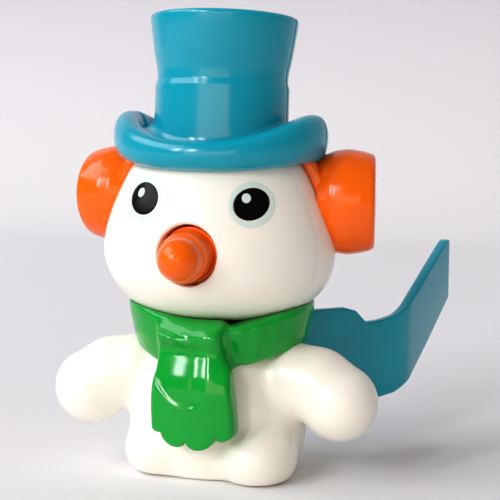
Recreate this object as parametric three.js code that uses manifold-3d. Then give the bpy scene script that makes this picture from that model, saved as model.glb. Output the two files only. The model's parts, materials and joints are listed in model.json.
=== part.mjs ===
// A snowman toy in a top hat, built from injection-moulded pieces.
// Millimetres, +Z up. The snowman faces -Y, and the origin is the middle of its flat underside.
import * as THREE from 'three';
import { mergeVertices } from 'three/addons/utils/BufferGeometryUtils.js';
import Module from 'manifold-3d';

const wasm = await Module();
wasm.setup();

// ---------------------------------------------------------------- driving dimensions
const GAP = 0.3; // clearance left between neighbouring mouldings
const WALL = 1.8; // wall of the hollow mouldings
const LARGE = 28; // facets round a large turned shape
const SMALL = 14; // facets round a small turned shape
const INSIDE = 12; // facets round the inside of a hollow moulding
const BLOCK = 200; // side of a cutting block

const BODY = {
  depth: 0.86, // front-to-back size over side-to-side size
  seamY: -1.5, // plane where the front and back mouldings meet
  top: 24.4,
  profile: [[11.6, 0], [13.9, 1.3], [15, 4.6], [15, 8.6], [14.3, 13], [12.8, 17.6], [10.7, 21.3], [8.6, 24]],
};
const NECK = { radius: 4.6, top: 30 };
const ARM = { shoulder: [12, -1.9, 16.8], hand: [21.3, -3.4, 12.6], shoulderRadius: 5.6, handRadius: 6.3 };
const FOOT = { centre: [8.1, -6.2, 4.2], radii: [6.5, 7.2, 5.6] };

const HEAD = {
  depth: 0.93,
  seamY: -6.5,
  base: 25,
  top: 55.2,
  profile: [
    [7.5, 25.2], [12.6, 26.3], [15.9, 28.4], [18.2, 31.2], [19.2, 34.6], [19.1, 38.5], [18.1, 42.4],
    [16.6, 46], [14.6, 49.8], [12, 52.6], [7.5, 54.6],
  ],
};
const NOSE = {
  height: 36.3, // centre of the round opening in the face
  bore: 4.75, // radius of that opening
  flangeY: -15.6, // front of the flange inside the opening
  droop: 5, // downward tilt in degrees
  flange: [4.4, 3], // radius and length of the flange behind its front
  steps: [[3.9, 0], [3.75, 4.6], [3.4, 4.9], [3.3, 6.2]], // radius and distance ahead of the flange
  dome: 2.7, // length of the rounded end
};
const BAND = { front: -2.3, back: 9.5, thickness: 1.7, foot: 40.5 };
const MUFF = {
  root: [15.8, 4.4, 44.6], // middle of the inner end
  turnBack: 9, // degrees
  barrel: [[7, 0], [8.1, 2.5], [8.5, 4.8], [8.2, 7.2], [7.7, 8.6]],
  face: [7, 9.5], // radius and distance of the flat outer face
};

const HAT = {
  crown: [
    [0, 50.4], [11.3, 50.4], [11.2, 56], [11.05, 58.6], [11, 62.7], [10.75, 63.1], [11.1, 66.5], [11.9, 71],
    [12.4, 74.1], [11.7, 74.8], [0, 74.8],
  ],
  bore: 9, // inside radius of the hollow crown
  ceiling: 72.6, // inside height of the hollow crown
  lipRing: [15.4, 14.3], // middle of the brim's rounded lip, side to side and front to back
  lipThickness: 2.4, // half thickness of the lip
  lipFront: [51.5, 2.3], // middle and half height of the lip in front
  lipSide: [54.9, 3.9], // and at the sides, where it curls up
  web: 2, // thickness of the brim between crown and lip
};

const COLLAR = {
  depth: 0.93,
  section: [[9.3, 18.6], [12, 18.4], [12.8, 19.4], [14, 22.6], [15.1, 26.2], [15.7, 29.2], [14.6, 30], [9.3, 30]],
};
const TAIL = { halfWidth: 6.9, top: 24.5, hem: 6.4, outerY: -16.1, thickness: 4, bow: 0.03, lobes: 3, notch: 1.4 };

const LEVER = {
  pivot: [0, 6],
  thickness: 2,
  rootAngle: 33.7, // direction of the root, in degrees from +X towards +Y
  tipAngle: 76.5, // direction of the blade past its bend
  bendAt: 32.4, // distance from the pivot to the middle of the bend
  bendLength: 5,
  hub: 2.8,
  clearance: 0.6, // round the lever inside the body
  bore: 1.45,
  swing: 40, // travel in degrees, towards +Y
  // distance along the blade, lower edge, upper edge
  edges: [
    [0, 9.4, 17.4], [11.6, 9.4, 17.4], [14.2, 9, 24], [15.8, 8.7, 25.1], [21.2, 8.5, 25.3], [23.4, 8.5, 24.7],
    [25.4, 8.5, 22.6], [28.1, 8.9, 22.9], [30.9, 9.6, 23.7], [34.2, 11.3, 25.4], [44.3, 17.6, 30.9],
    [53.9, 23.9, 36], [55.5, 24.9, 36.4],
  ],
};
const PIN = { radius: 1.3, low: 2.1, high: 20.9 };
const SCREW = { x: 6.2, z: 5.6, bore: 2.2, head: 1.9, shank: 1, seatY: 9.6, headHeight: 1.3, tipY: -0.9 };

// ---------------------------------------------------------------- materials
const plastic = (color) => new THREE.MeshStandardMaterial({ color, roughness: 0.2, metalness: 0 });
const white = () => plastic(0xf4f3ee);
const teal = () => plastic(0x0099b0);
const orange = () => plastic(0xf25c05);
const green = () => plastic(0x00a238);
const steel = () => new THREE.MeshStandardMaterial({ color: 0xa9abad, roughness: 0.35, metalness: 1 });

// ---------------------------------------------------------------- helpers
const radians = THREE.MathUtils.degToRad;
const { lerp } = THREE.MathUtils;

/** Points of a smooth curve through [a, b] pairs. */
function smooth(pairs, count) {
  const curve = new THREE.SplineCurve(pairs.map(([a, b]) => new THREE.Vector2(a, b)));
  return curve.getPoints(count).map((point) => [point.x, point.y]);
}

/** Points of an arc of an ellipse about [0, middle], between two angles in degrees. */
function arc(width, height, middle, from, to, count) {
  return Array.from({ length: count + 1 }, (_, i) => {
    const angle = radians(lerp(from, to, i / count));
    return [Math.max(0, width * Math.cos(angle)), middle + height * Math.sin(angle)];
  });
}

/** Surface turned about +Z from [radius, height] pairs that run upwards from axis to axis. */
function turned(pairs, steps = LARGE) {
  const profile = pairs.map(([r, z]) => new THREE.Vector2(r, z));
  return new THREE.LatheGeometry(profile, steps).rotateX(Math.PI / 2);
}

/** Round bar along +Z between two heights. */
function bar(radius, low, high) {
  return turned([[0, low], [radius, low], [radius, high], [0, high]], SMALL);
}

/** Moves every vertex of a geometry to where a function of x, y and z puts it. */
function mapped(geometry, place) {
  const position = geometry.attributes.position;
  for (let i = 0; i < position.count; i += 1) {
    position.setXYZ(i, ...place(position.getX(i), position.getY(i), position.getZ(i)));
  }
  return geometry;
}

/** Copy of a geometry with each side of its box moved out by the same distance, or in by a negative one. */
function grown(geometry, distance) {
  const copy = geometry.clone();
  copy.computeBoundingBox();
  const middle = copy.boundingBox.getCenter(new THREE.Vector3());
  const size = copy.boundingBox.getSize(new THREE.Vector3());
  const factors = size.toArray().map((length) => (length + 2 * distance) / length);
  return copy.translate(-middle.x, -middle.y, -middle.z).scale(...factors).translate(...middle.toArray());
}

/** Turns a closed geometry into a solid that can be joined and cut. */
function solid(geometry) {
  const bare = geometry.clone();
  bare.deleteAttribute('normal');
  bare.deleteAttribute('uv');
  const merged = mergeVertices(bare, 1e-4);
  const triangles = [];
  for (let i = 0; i < merged.index.count; i += 3) {
    const [a, b, c] = [0, 1, 2].map((k) => merged.index.getX(i + k));
    if (a !== b && b !== c && c !== a) triangles.push(a, b, c);
  }
  const vertProperties = Float32Array.from(merged.attributes.position.array);
  return new wasm.Manifold(new wasm.Mesh({ numProp: 3, vertProperties, triVerts: Uint32Array.from(triangles) }));
}

/** Named mesh made from a solid. */
function piece(name, shape, material) {
  const { vertProperties, triVerts } = shape.getMesh();
  const geometry = new THREE.BufferGeometry();
  geometry.setAttribute('position', new THREE.BufferAttribute(Float32Array.from(vertProperties), 3));
  geometry.setIndex(new THREE.BufferAttribute(Uint32Array.from(triVerts), 1));
  geometry.computeVertexNormals();
  const mesh = new THREE.Mesh(geometry, material);
  mesh.name = name;
  return mesh;
}

/** Block between two planes of y, wide enough to cut anything here. */
function slab(from, to) {
  return solid(new THREE.BoxGeometry(BLOCK, to - from, BLOCK).translate(0, (from + to) / 2, 0));
}

/** Part of a solid in front of a seam plane, or behind it, with half the gap taken off. */
const frontHalf = (shape, seam) => shape.intersect(slab(-BLOCK, seam - GAP / 2));
const backHalf = (shape, seam) => shape.intersect(slab(seam + GAP / 2, BLOCK));

/** Block that covers everything below a height. */
function below(height) {
  return solid(new THREE.BoxGeometry(BLOCK, BLOCK, BLOCK).translate(0, 0, height - BLOCK / 2));
}

// ---------------------------------------------------------------- body
/** One arm: a tapered peg with round ends, from the shoulder to the hand. */
function arm(side, growth) {
  const [start, end] = [ARM.shoulder, ARM.hand].map(([x, y, z]) => new THREE.Vector3(x * side, y, z));
  const direction = end.clone().sub(start);
  const [first, last] = [ARM.shoulderRadius + growth, ARM.handRadius + growth];
  const outline = [...arc(first, first, 0, -90, 0, 3), ...arc(last, last, direction.length(), 0, 90, 5)];
  const turn = new THREE.Quaternion().setFromUnitVectors(new THREE.Vector3(0, 0, 1), direction.normalize());
  return turned(outline, SMALL).applyQuaternion(turn).translate(start.x, start.y, start.z);
}

/** Torso, arms and feet in one solid with a flat underside, each of them grown by a distance. */
function bodyShape(growth) {
  const outline = [[0, 0], ...smooth(BODY.profile, 9), [0, BODY.top]];
  const torso = turned(outline).scale(1, BODY.depth, 1);
  let shape = solid(grown(torso, growth));
  for (const side of [-1, 1]) {
    const [x, y, z] = FOOT.centre;
    const foot = new THREE.SphereGeometry(1, SMALL, SMALL / 2).scale(...FOOT.radii.map((r) => r + growth));
    shape = shape.add(solid(foot.translate(x * side, y, z))).add(solid(arm(side, growth)));
  }
  return shape.subtract(below(-growth));
}

/** Pocket in the back that the lever swings in: room for its hub, and a window between its end positions. */
function leverPocket() {
  const [, low, high] = LEVER.edges[0];
  const height = high - low + 2 * LEVER.clearance;
  const reach = 24;
  const sector = new THREE.Shape();
  sector.moveTo(0, 0);
  sector.absarc(0, 0, reach, radians(LEVER.rootAngle), radians(LEVER.rootAngle + LEVER.swing));
  sector.lineTo(0, 0);
  const between = new THREE.ExtrudeGeometry(sector, { depth: height, bevelEnabled: false, curveSegments: 8 });
  let pocket = solid(between).add(solid(bar(LEVER.hub + LEVER.clearance, 0, height)));
  for (const angle of [LEVER.rootAngle, LEVER.rootAngle + LEVER.swing]) {
    const slot = new THREE.BoxGeometry(reach, LEVER.thickness + 2 * LEVER.clearance, height);
    pocket = pocket.add(solid(slot.translate(reach / 2, 0, height / 2).rotateZ(radians(angle))));
  }
  return pocket.translate([...LEVER.pivot, low - LEVER.clearance]);
}

/** Round bar along the y axis at a screw's place, between two planes of y. */
function screwBar(side, radius, from, to) {
  return solid(bar(radius, -to, -from).rotateX(Math.PI / 2).translate(SCREW.x * side, 0, SCREW.z));
}

const body = bodyShape(0)
  .add(solid(bar(NECK.radius, BODY.top - 1, NECK.top)))
  .subtract(leverPocket())
  .subtract(solid(bar(PIN.radius + GAP, PIN.low - GAP, PIN.high + GAP).translate(...LEVER.pivot, 0)));
let bodyBack = backHalf(body, BODY.seamY);
const screws = [];
for (const side of [-1, 1]) {
  bodyBack = bodyBack
    .subtract(screwBar(side, SCREW.bore, SCREW.seatY, 20))
    .subtract(screwBar(side, SCREW.shank + GAP, -5, 20));
  const head = screwBar(side, SCREW.head, SCREW.seatY + GAP, SCREW.seatY + GAP + SCREW.headHeight);
  screws.push(head.add(screwBar(side, SCREW.shank, SCREW.tipY, SCREW.seatY + GAP + 0.1)));
}
const pin = solid(bar(PIN.radius, PIN.low, PIN.high).translate(...LEVER.pivot, 0));

// ---------------------------------------------------------------- lever
/** Lower and upper edge of the blade at a distance from the pivot. */
function bladeEdges(distance) {
  const { edges } = LEVER;
  const next = Math.max(1, edges.findIndex(([at]) => at >= distance - 1e-6));
  const [from, to] = [edges[next - 1], edges[next]];
  const share = (distance - from[0]) / (to[0] - from[0]);
  return [lerp(from[1], to[1], share), lerp(from[2], to[2], share)];
}

/** Middle line of the blade seen from above: a straight root, a round bend and a straight end. */
function bladeLine() {
  const start = new THREE.Vector2(...LEVER.pivot);
  const heading = (degrees) => new THREE.Vector2(Math.cos(radians(degrees)), Math.sin(radians(degrees)));
  const corner = start.clone().addScaledVector(heading(LEVER.rootAngle), LEVER.bendAt);
  const bendStart = corner.clone().addScaledVector(heading(LEVER.rootAngle), -LEVER.bendLength / 2);
  const bendEnd = corner.clone().addScaledVector(heading(LEVER.tipAngle), LEVER.bendLength / 2);
  const tail = LEVER.edges.at(-1)[0] - LEVER.bendAt;
  const end = corner.clone().addScaledVector(heading(LEVER.tipAngle), tail);
  const line = new THREE.CurvePath();
  line.add(new THREE.LineCurve(start, bendStart));
  line.add(new THREE.QuadraticBezierCurve(bendStart, corner, bendEnd));
  line.add(new THREE.LineCurve(bendEnd, end));
  return line;
}

/** The blade: a strip that follows the middle line, between its two edges. */
function blade() {
  const line = bladeLine();
  const [first, last] = [LEVER.edges[0][0], LEVER.edges.at(-1)[0]];
  const strip = new THREE.BoxGeometry(1, LEVER.thickness, 1, 36, 1, 1);
  return mapped(strip, (along, across, up) => {
    const share = along + 0.5;
    const at = line.getPointAt(share);
    const ahead = line.getTangentAt(share);
    const [low, high] = bladeEdges(lerp(first, last, share));
    return [at.x - ahead.y * across, at.y + ahead.x * across, lerp(low, high, up + 0.5)];
  });
}

const [, hubLow, hubHigh] = LEVER.edges[0];
const hub = solid(bar(LEVER.hub, hubLow, hubHigh).translate(...LEVER.pivot, 0));
const hubBore = solid(bar(LEVER.bore, hubLow - 1, hubHigh + 1).translate(...LEVER.pivot, 0));
const lever = solid(blade()).add(hub).subtract(hubBore);

// ---------------------------------------------------------------- head
/** Closed form of the head with a number of facets round it and along its profile. */
function headForm(steps, stages) {
  return turned([[0, HEAD.base], ...smooth(HEAD.profile, stages), [0, HEAD.top]], steps).scale(1, HEAD.depth, 1);
}

const headOutside = headForm(LARGE, 12);
const headSpace = solid(grown(headOutside, GAP));
const noseHole = solid(bar(NOSE.bore, 0, 30).rotateX(Math.PI / 2).translate(0, 0, NOSE.height));
const headShell = solid(headOutside)
  .subtract(solid(grown(headForm(INSIDE, 7), -WALL)))
  .subtract(solid(bar(NECK.radius + GAP, 20, NECK.top)))
  .subtract(noseHole);

const noseOutline = [
  [0, -NOSE.flange[1]],
  [NOSE.flange[0], -NOSE.flange[1]],
  [NOSE.flange[0], 0],
  ...NOSE.steps,
  ...arc(NOSE.steps.at(-1)[0], NOSE.dome, NOSE.steps.at(-1)[1], 15, 90, 4),
];
const noseForm = turned(noseOutline, SMALL).rotateX(Math.PI / 2 + radians(NOSE.droop));
const nose = solid(noseForm.translate(0, NOSE.flangeY, NOSE.height))
  .intersect(solid(bar(NOSE.bore - GAP, 0, 40).rotateX(Math.PI / 2).translate(0, 0, NOSE.height)));

// ---------------------------------------------------------------- ear muffs
const overBand = solid(grown(headOutside, 2 * GAP + BAND.thickness));
const bandSpace = overBand.intersect(slab(BAND.front - GAP, BAND.back + GAP)).subtract(below(BAND.foot - GAP));
const band = solid(grown(headOutside, GAP + BAND.thickness))
  .intersect(slab(BAND.front, BAND.back))
  .subtract(headSpace)
  .subtract(below(BAND.foot));

/** One ear muff: a barrel lying on its side, pointing outwards and a little backwards. */
function muff(side) {
  const turn = new THREE.Quaternion().setFromUnitVectors(
    new THREE.Vector3(0, 0, 1),
    new THREE.Vector3(side * Math.cos(radians(MUFF.turnBack)), Math.sin(radians(MUFF.turnBack)), 0),
  );
  const outline = [[0, 0], ...smooth(MUFF.barrel, 5), MUFF.face, [0, MUFF.face[1]]];
  const [x, y, z] = MUFF.root;
  return solid(turned(outline, 20).applyQuaternion(turn).translate(x * side, y, z)).subtract(overBand);
}

// ---------------------------------------------------------------- hat
/** How far round to the sides a direction points: 0 in front and behind, 1 at the sides. */
const sideways = (x, y) => Math.abs(Math.cos(Math.atan2(y, x))) ** 2.5;

/** Rounded lip of the brim, taller and higher at the sides. */
function lip() {
  const ring = new THREE.TorusGeometry(10, 1, 8, LARGE);
  return mapped(ring, (x, y, z) => {
    const round = Math.hypot(x, y);
    const share = sideways(x, y);
    const out = (round - 10) * HAT.lipThickness;
    const [cos, sin] = [x / round, y / round];
    const middle = lerp(HAT.lipFront[0], HAT.lipSide[0], share);
    const height = lerp(HAT.lipFront[1], HAT.lipSide[1], share);
    return [(HAT.lipRing[0] + out) * cos, (HAT.lipRing[1] + out) * sin, middle + z * height];
  });
}

/** Floor of the brim between the crown and the lip. */
function web() {
  const inner = HAT.bore + 1;
  const outline = [[inner, 0], [1, 0], [1, HAT.web], [inner, HAT.web], [inner, 0]];
  const ring = turned(outline.map(([r, z]) => [r === 1 ? HAT.lipRing[0] : r, z]));
  return mapped(ring, (x, y, z) => {
    const middle = lerp(HAT.lipFront[0], HAT.lipSide[0], sideways(x, y));
    return [x, (y * HAT.lipRing[1]) / HAT.lipRing[0], z + middle - HAT.web / 2];
  });
}

const hat = solid(turned(HAT.crown))
  .add(solid(lip()))
  .add(solid(web()))
  .subtract(solid(bar(HAT.bore, 40, HAT.ceiling)))
  .subtract(headSpace)
  .subtract(bandSpace);

// ---------------------------------------------------------------- scarf
/** Hanging end of the scarf, bowed round the belly, with a scalloped hem. */
function tail() {
  const strip = new THREE.BoxGeometry(2 * TAIL.halfWidth, TAIL.thickness, 1, 18, 1, 2);
  return mapped(strip, (x, y, up) => {
    const wave = Math.abs(Math.sin(((x / TAIL.halfWidth + 1) / 2) * Math.PI * TAIL.lobes));
    const low = TAIL.hem + TAIL.notch * (1 - wave);
    const front = TAIL.outerY + TAIL.bow * x * x;
    return [x, front + TAIL.thickness / 2 + y, lerp(low, TAIL.top, up + 0.5)];
  });
}

const collarRing = turned([...COLLAR.section, COLLAR.section[0]]).scale(1, COLLAR.depth, 1);
const scarf = solid(collarRing)
  .add(solid(tail()))
  .subtract(headSpace)
  .subtract(bodyShape(GAP));

// ---------------------------------------------------------------- assembly
const snowman = new THREE.Group();
snowman.add(
  piece('hat_front', frontHalf(hat, 0), teal()),
  piece('hat_back', backHalf(hat, 0), teal()),
  piece('head_front', frontHalf(headShell, HEAD.seamY), white()),
  piece('head_back', backHalf(headShell, HEAD.seamY), white()),
  piece('nose', nose, orange()),
  piece('ear_band', band, orange()),
  piece('ear_muff_left', muff(-1), orange()),
  piece('ear_muff_right', muff(1), orange()),
  piece('scarf', scarf, green()),
  piece('body_front', frontHalf(body, BODY.seamY), white()),
  piece('body_back', bodyBack, white()),
  piece('lever', lever, teal()),
  piece('lever_pin', pin, steel()),
);
screws.forEach((screw, i) => snowman.add(piece(`back_screw_${i + 1}`, screw, steel())));

export default snowman;
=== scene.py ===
"""Looks of a glossy moulded snowman toy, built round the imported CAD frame.

Lengths inside the classes are millimetres in the part's own frame: +Z up, the face looks along -Y, and the
origin is the middle of the flat underside. Meshes are written in metres.
"""

from __future__ import annotations

import itertools
import json
import logging
import math
from dataclasses import dataclass
from enum import Enum
from typing import Callable, Sequence

import bmesh
import bpy
import numpy as np
from mathutils import Matrix, Vector

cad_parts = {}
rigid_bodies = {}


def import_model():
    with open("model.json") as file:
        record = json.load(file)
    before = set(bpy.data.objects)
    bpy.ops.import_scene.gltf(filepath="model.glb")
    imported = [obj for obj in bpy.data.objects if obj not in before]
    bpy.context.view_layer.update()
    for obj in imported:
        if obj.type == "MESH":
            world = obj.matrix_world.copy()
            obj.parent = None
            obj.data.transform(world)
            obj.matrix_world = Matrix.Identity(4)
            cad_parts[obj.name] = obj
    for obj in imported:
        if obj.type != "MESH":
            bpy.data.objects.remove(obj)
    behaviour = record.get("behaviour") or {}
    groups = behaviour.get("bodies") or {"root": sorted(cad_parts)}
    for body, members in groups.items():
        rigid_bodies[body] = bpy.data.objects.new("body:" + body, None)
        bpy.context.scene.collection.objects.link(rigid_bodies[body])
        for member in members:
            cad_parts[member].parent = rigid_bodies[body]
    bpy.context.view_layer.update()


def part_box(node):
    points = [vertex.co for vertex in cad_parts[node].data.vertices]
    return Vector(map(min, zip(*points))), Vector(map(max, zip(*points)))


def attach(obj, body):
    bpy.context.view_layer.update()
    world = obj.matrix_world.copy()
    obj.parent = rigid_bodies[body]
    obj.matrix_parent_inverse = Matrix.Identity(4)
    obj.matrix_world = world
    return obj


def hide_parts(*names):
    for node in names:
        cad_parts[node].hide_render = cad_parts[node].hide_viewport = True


log = logging.getLogger("snowman")

Array = np.ndarray
Field = Callable[[Array, Array, Array], Array]
Pair = tuple[float, float]
Triple = tuple[float, float, float]

MM = 0.001
SEAM_GAP = 0.07  # width of the dark line where two mouldings meet
FIGURE = "figure"
LEVER_ARM = "lever_arm"


# -------------------- frame
@dataclass(frozen=True)
class Box:
    """Lowest and highest corner of some CAD nodes, in millimetres."""

    low: Array
    high: Array

    @classmethod
    def of(cls, *nodes: str) -> "Box":
        """Box round CAD nodes.

        Args:
            nodes: names of CAD nodes.

        Returns:
            The box that holds them all.
        """
        corners = [np.array([list(corner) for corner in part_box(node)]) / MM for node in nodes]
        return cls(np.min([c[0] for c in corners], axis=0), np.max([c[1] for c in corners], axis=0))

    @property
    def middle(self) -> Array:
        """Centre of the box."""
        return (self.low + self.high) / 2

    @property
    def size(self) -> Array:
        """Side lengths of the box."""
        return self.high - self.low


# -------------------- curves
def spline(points: Sequence[Pair], count: int) -> Array:
    """Smooth curve through points, a Catmull-Rom spline.

    Between two points the curve is the cubic whose slope at each point is half the step between the
    neighbours of that point.

    Args:
        points: points that the curve passes through.
        count: number of samples.

    Returns:
        Array of shape (count, 2).
    """
    given = np.asarray(points, dtype=float)
    padded = np.vstack([2 * given[0] - given[1], given, 2 * given[-1] - given[-2]])
    at = np.linspace(0, len(given) - 1, count)
    span = np.minimum(at.astype(int), len(given) - 2)
    t = (at - span)[:, None]
    p0, p1, p2, p3 = (padded[span + k] for k in range(4))
    cubic = -p0 + 3 * p1 - 3 * p2 + p3
    square = 2 * p0 - 5 * p1 + 4 * p2 - p3
    return 0.5 * (2 * p1 + (p2 - p0) * t + square * t**2 + cubic * t**3)


def ease(low: float, high: float, value: Array) -> Array:
    """Smooth step: 0 below low, 1 above high, and 3t^2 - 2t^3 between."""
    t = np.clip((value - low) / (high - low), 0, 1)
    return t * t * (3 - 2 * t)


def bell(value: Array, middle: float, width: float) -> Array:
    """Gaussian bump of height 1: exp(-((value - middle) / width)^2)."""
    return np.exp(-(((value - middle) / width) ** 2))


def filleted(corners: Sequence[tuple[float, float, float]], steps: int = 8) -> Array:
    """Open outline with round corners.

    Each inner corner is replaced by an arc tangent to both its sides, whose ends lie
    radius / tan(half angle) away.

    Args:
        corners: (radius out, height, corner radius) of each corner.
        steps: samples per arc.

    Returns:
        Array of shape (n, 2).
    """
    outline = [np.array(corners[0][:2])]
    for before, here, after in zip(corners, corners[1:], corners[2:]):
        corner = np.array(here[:2])
        to_before = np.array(before[:2]) - corner
        to_after = np.array(after[:2]) - corner
        lengths = np.linalg.norm(to_before), np.linalg.norm(to_after)
        to_before, to_after = to_before / lengths[0], to_after / lengths[1]
        half = math.acos(float(np.clip(to_before @ to_after, -1, 1))) / 2
        reach = min(here[2] / max(math.tan(half), 1e-6), 0.45 * min(lengths))
        start, end = corner + to_before * reach, corner + to_after * reach
        t = np.linspace(0, 1, steps)[:, None]
        outline.extend((1 - t) ** 2 * start + 2 * t * (1 - t) * corner + t**2 * end)
    outline.append(np.array(corners[-1][:2]))
    return np.array(outline)


# -------------------- meshes
def make_mesh(name: str, points: Array, faces: Array) -> bpy.types.Object:
    """Makes a smooth-shaded mesh object from arrays.

    Args:
        name: object name.
        points: (n, 3) positions in millimetres.
        faces: (m, 4) corner indices; a triangle repeats its last corner.

    Returns:
        The object, linked to the scene.
    """
    mesh = bpy.data.meshes.new(name)
    corner_lists = [row[:3] if row[2] == row[3] else row for row in faces.tolist()]
    mesh.from_pydata((points * MM).tolist(), [], corner_lists)
    mesh.polygons.foreach_set("use_smooth", np.ones(len(mesh.polygons), dtype=bool))
    mesh.validate()
    mesh.update()
    thing = bpy.data.objects.new(name, mesh)
    bpy.context.scene.collection.objects.link(thing)
    return thing


def tidy_mesh(thing: bpy.types.Object, distance: float = 0.002) -> bpy.types.Object:
    """Merges doubles closer than a distance in millimetres and points every face outwards."""
    work = bmesh.new()
    work.from_mesh(thing.data)
    bmesh.ops.remove_doubles(work, verts=work.verts, dist=distance * MM)
    bmesh.ops.recalc_face_normals(work, faces=work.faces)
    work.to_mesh(thing.data)
    work.free()
    return thing


def grid_mesh(name: str, points: Array) -> bpy.types.Object:
    """Mesh of a surface given on a grid of two parameters, whose last column joins the first.

    Args:
        name: object name.
        points: (rows, columns, 3) positions in millimetres.

    Returns:
        The object, with poles and seams merged and faces pointing out.
    """
    rows, columns = points.shape[:2]
    row, column = np.meshgrid(np.arange(rows - 1), np.arange(columns), indexing="ij")
    beside = (column + 1) % columns
    here, ahead = row * columns, (row + 1) * columns
    quads = np.stack([here + column, here + beside, ahead + beside, ahead + column], axis=-1)
    return tidy_mesh(make_mesh(name, points.reshape(-1, 3), quads.reshape(-1, 4)))


def turned(name: str, outline: Array, place: Matrix, steps: int = 96) -> bpy.types.Object:
    """Solid of revolution: each outline point (r, h) goes round local Z, then through a placing matrix.

    Args:
        name: object name.
        outline: (n, 2) radius and height, from axis to axis.
        place: 4x4 matrix in millimetres.
        steps: facets round the axis.

    Returns:
        The object.
    """
    angle = np.linspace(0, 2 * math.pi, steps, endpoint=False)
    radius, height = outline[:, :1], outline[:, 1:]
    height = np.broadcast_to(height, (len(outline), steps))
    local = np.stack([radius * np.cos(angle), radius * np.sin(angle), height], axis=-1)
    turn = np.array(place)
    return grid_mesh(name, local @ turn[:3, :3].T + turn[:3, 3])


CELL_CORNERS = np.array(list(itertools.product((0, 1), repeat=3)))
CELL_EDGES = [(a, a + step) for a in CELL_CORNERS for step in np.eye(3, dtype=int) if (a + step).max() < 2]


def slopes(field: Field, points: Array, nudge: float) -> Array:
    """Change of a field over two nudges along each axis, at points of shape (n, 3)."""
    steps = nudge * np.eye(3)
    return np.stack([field(*(points + step).T) - field(*(points - step).T) for step in steps], axis=1)


def settle(field: Field, points: Array, reach: float, rounds: int = 3) -> Array:
    """Moves points onto a field's zero level by Newton steps along its gradient, each at most reach long."""
    nudge = 0.02
    for _ in range(rounds):
        value = field(*points.T)
        gradient = slopes(field, points, nudge) / (2 * nudge)
        square = np.maximum((gradient**2).sum(axis=1), 1e-3)
        step = (value / square)[:, None] * gradient
        length = np.linalg.norm(step, axis=1, keepdims=True)
        points = points - step * np.minimum(1, reach / np.maximum(length, 1e-9))
    return points


def skin(
    name: str, field: Field, low: Sequence[float], high: Sequence[float], step: float
) -> bpy.types.Object:
    """Mesh of the surface where a field is zero, by surface nets.

    Space is cut into cells. A cell whose corners lie on both sides of the surface gets one vertex, the mean
    of the crossings on its edges, and each grid edge that crosses the surface joins the four cells round it
    with a quad. The vertices are then moved onto the surface.

    Args:
        name: object name.
        field: negative inside the solid, positive outside, in millimetres.
        low: lowest corner of the space.
        high: highest corner of the space.
        step: cell size.

    Returns:
        The object.
    """
    axes = [np.arange(a - 1.5 * step, b + 2.5 * step, step) for a, b in zip(low, high)]
    value = field(*np.meshgrid(*axes, indexing="ij"))
    inside = value < 0
    cells = np.array(value.shape) - 1
    filled = sum(
        inside[tuple(slice(o, o + n) for o, n in zip(corner, cells))].astype(int) for corner in CELL_CORNERS
    )
    mixed = (filled > 0) & (filled < 8)
    index = np.full(cells, -1)
    index[mixed] = np.arange(mixed.sum())
    cell = np.argwhere(mixed)
    total, hits = np.zeros((len(cell), 3)), np.zeros((len(cell), 1))
    for start, end in CELL_EDGES:
        first, last = value[tuple((cell + start).T)], value[tuple((cell + end).T)]
        crossed = ((first < 0) != (last < 0))[:, None]
        share = (first / np.where(first == last, 1, first - last))[:, None]
        total += np.where(crossed, start + share * (end - start), 0)
        hits += crossed
    points = np.array([axis[0] for axis in axes]) + (cell + total / hits) * step
    quads = []
    for axis in range(3):
        across, along = np.roll(np.eye(3, dtype=int), -axis - 1, axis=0)[:2]
        here = [slice(None)] * 3
        ahead = [slice(None)] * 3
        here[axis], ahead[axis] = slice(0, -1), slice(1, None)
        edge = np.argwhere(inside[tuple(here)] != inside[tuple(ahead)])
        edge = edge[((edge @ across > 0) & (edge @ along > 0))]
        edge = edge[(edge < cells).all(axis=1)]
        ring = [index[tuple((edge - move).T)] for move in (0 * across, across, across + along, along)]
        quad = np.stack(ring, axis=1)
        outwards = inside[tuple(edge.T)]
        quads.append(np.where(outwards[:, None], quad, quad[:, ::-1]))
    return make_mesh(name, settle(field, points, step), np.concatenate(quads))


def split(
    thing: bpy.types.Object, seam: float, names: tuple[str, str]
) -> tuple[bpy.types.Object, bpy.types.Object]:
    """Cuts a closed mesh in two at the plane y = seam and closes both halves.

    Args:
        thing: object to cut; it is removed.
        seam: place of the plane in millimetres.
        names: names of the front half and the back half.

    Returns:
        The front and the back half.
    """
    halves = []
    for side, name in zip((-1, 1), names):
        work = bmesh.new()
        work.from_mesh(thing.data)
        cut = bmesh.ops.bisect_plane(
            work,
            geom=[*work.verts, *work.edges, *work.faces],
            dist=1e-7,
            plane_co=(0, (seam + side * SEAM_GAP / 2) * MM, 0),
            plane_no=(0, side, 0),
            clear_inner=True,
        )
        rim = [item for item in cut["geom_cut"] if isinstance(item, bmesh.types.BMEdge)]
        bmesh.ops.triangle_fill(work, use_beauty=True, edges=rim, normal=(0, -side, 0))
        for edge in rim:
            edge.smooth = False
        bmesh.ops.recalc_face_normals(work, faces=work.faces)
        mesh = bpy.data.meshes.new(name)
        work.to_mesh(mesh)
        work.free()
        half = bpy.data.objects.new(name, mesh)
        bpy.context.scene.collection.objects.link(half)
        halves.append(half)
    bpy.data.objects.remove(thing)
    return halves[0], halves[1]


# -------------------- fields
def join(first: Array, second: Array, blend: float) -> Array:
    """Union of two fields whose inner corner is rounded over a width: the polynomial smooth minimum."""
    mix = np.clip(0.5 + 0.5 * (second - first) / blend, 0, 1)
    return second + (first - second) * mix - blend * mix * (1 - mix)


def meet(first: Array, second: Array, blend: float) -> Array:
    """Common part of two fields, with its edge rounded over a width."""
    return -join(-first, -second, blend)


def cut(first: Array, second: Array, blend: float) -> Array:
    """First field without the second, with its edge rounded over a width."""
    return meet(first, -second, blend)


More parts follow.
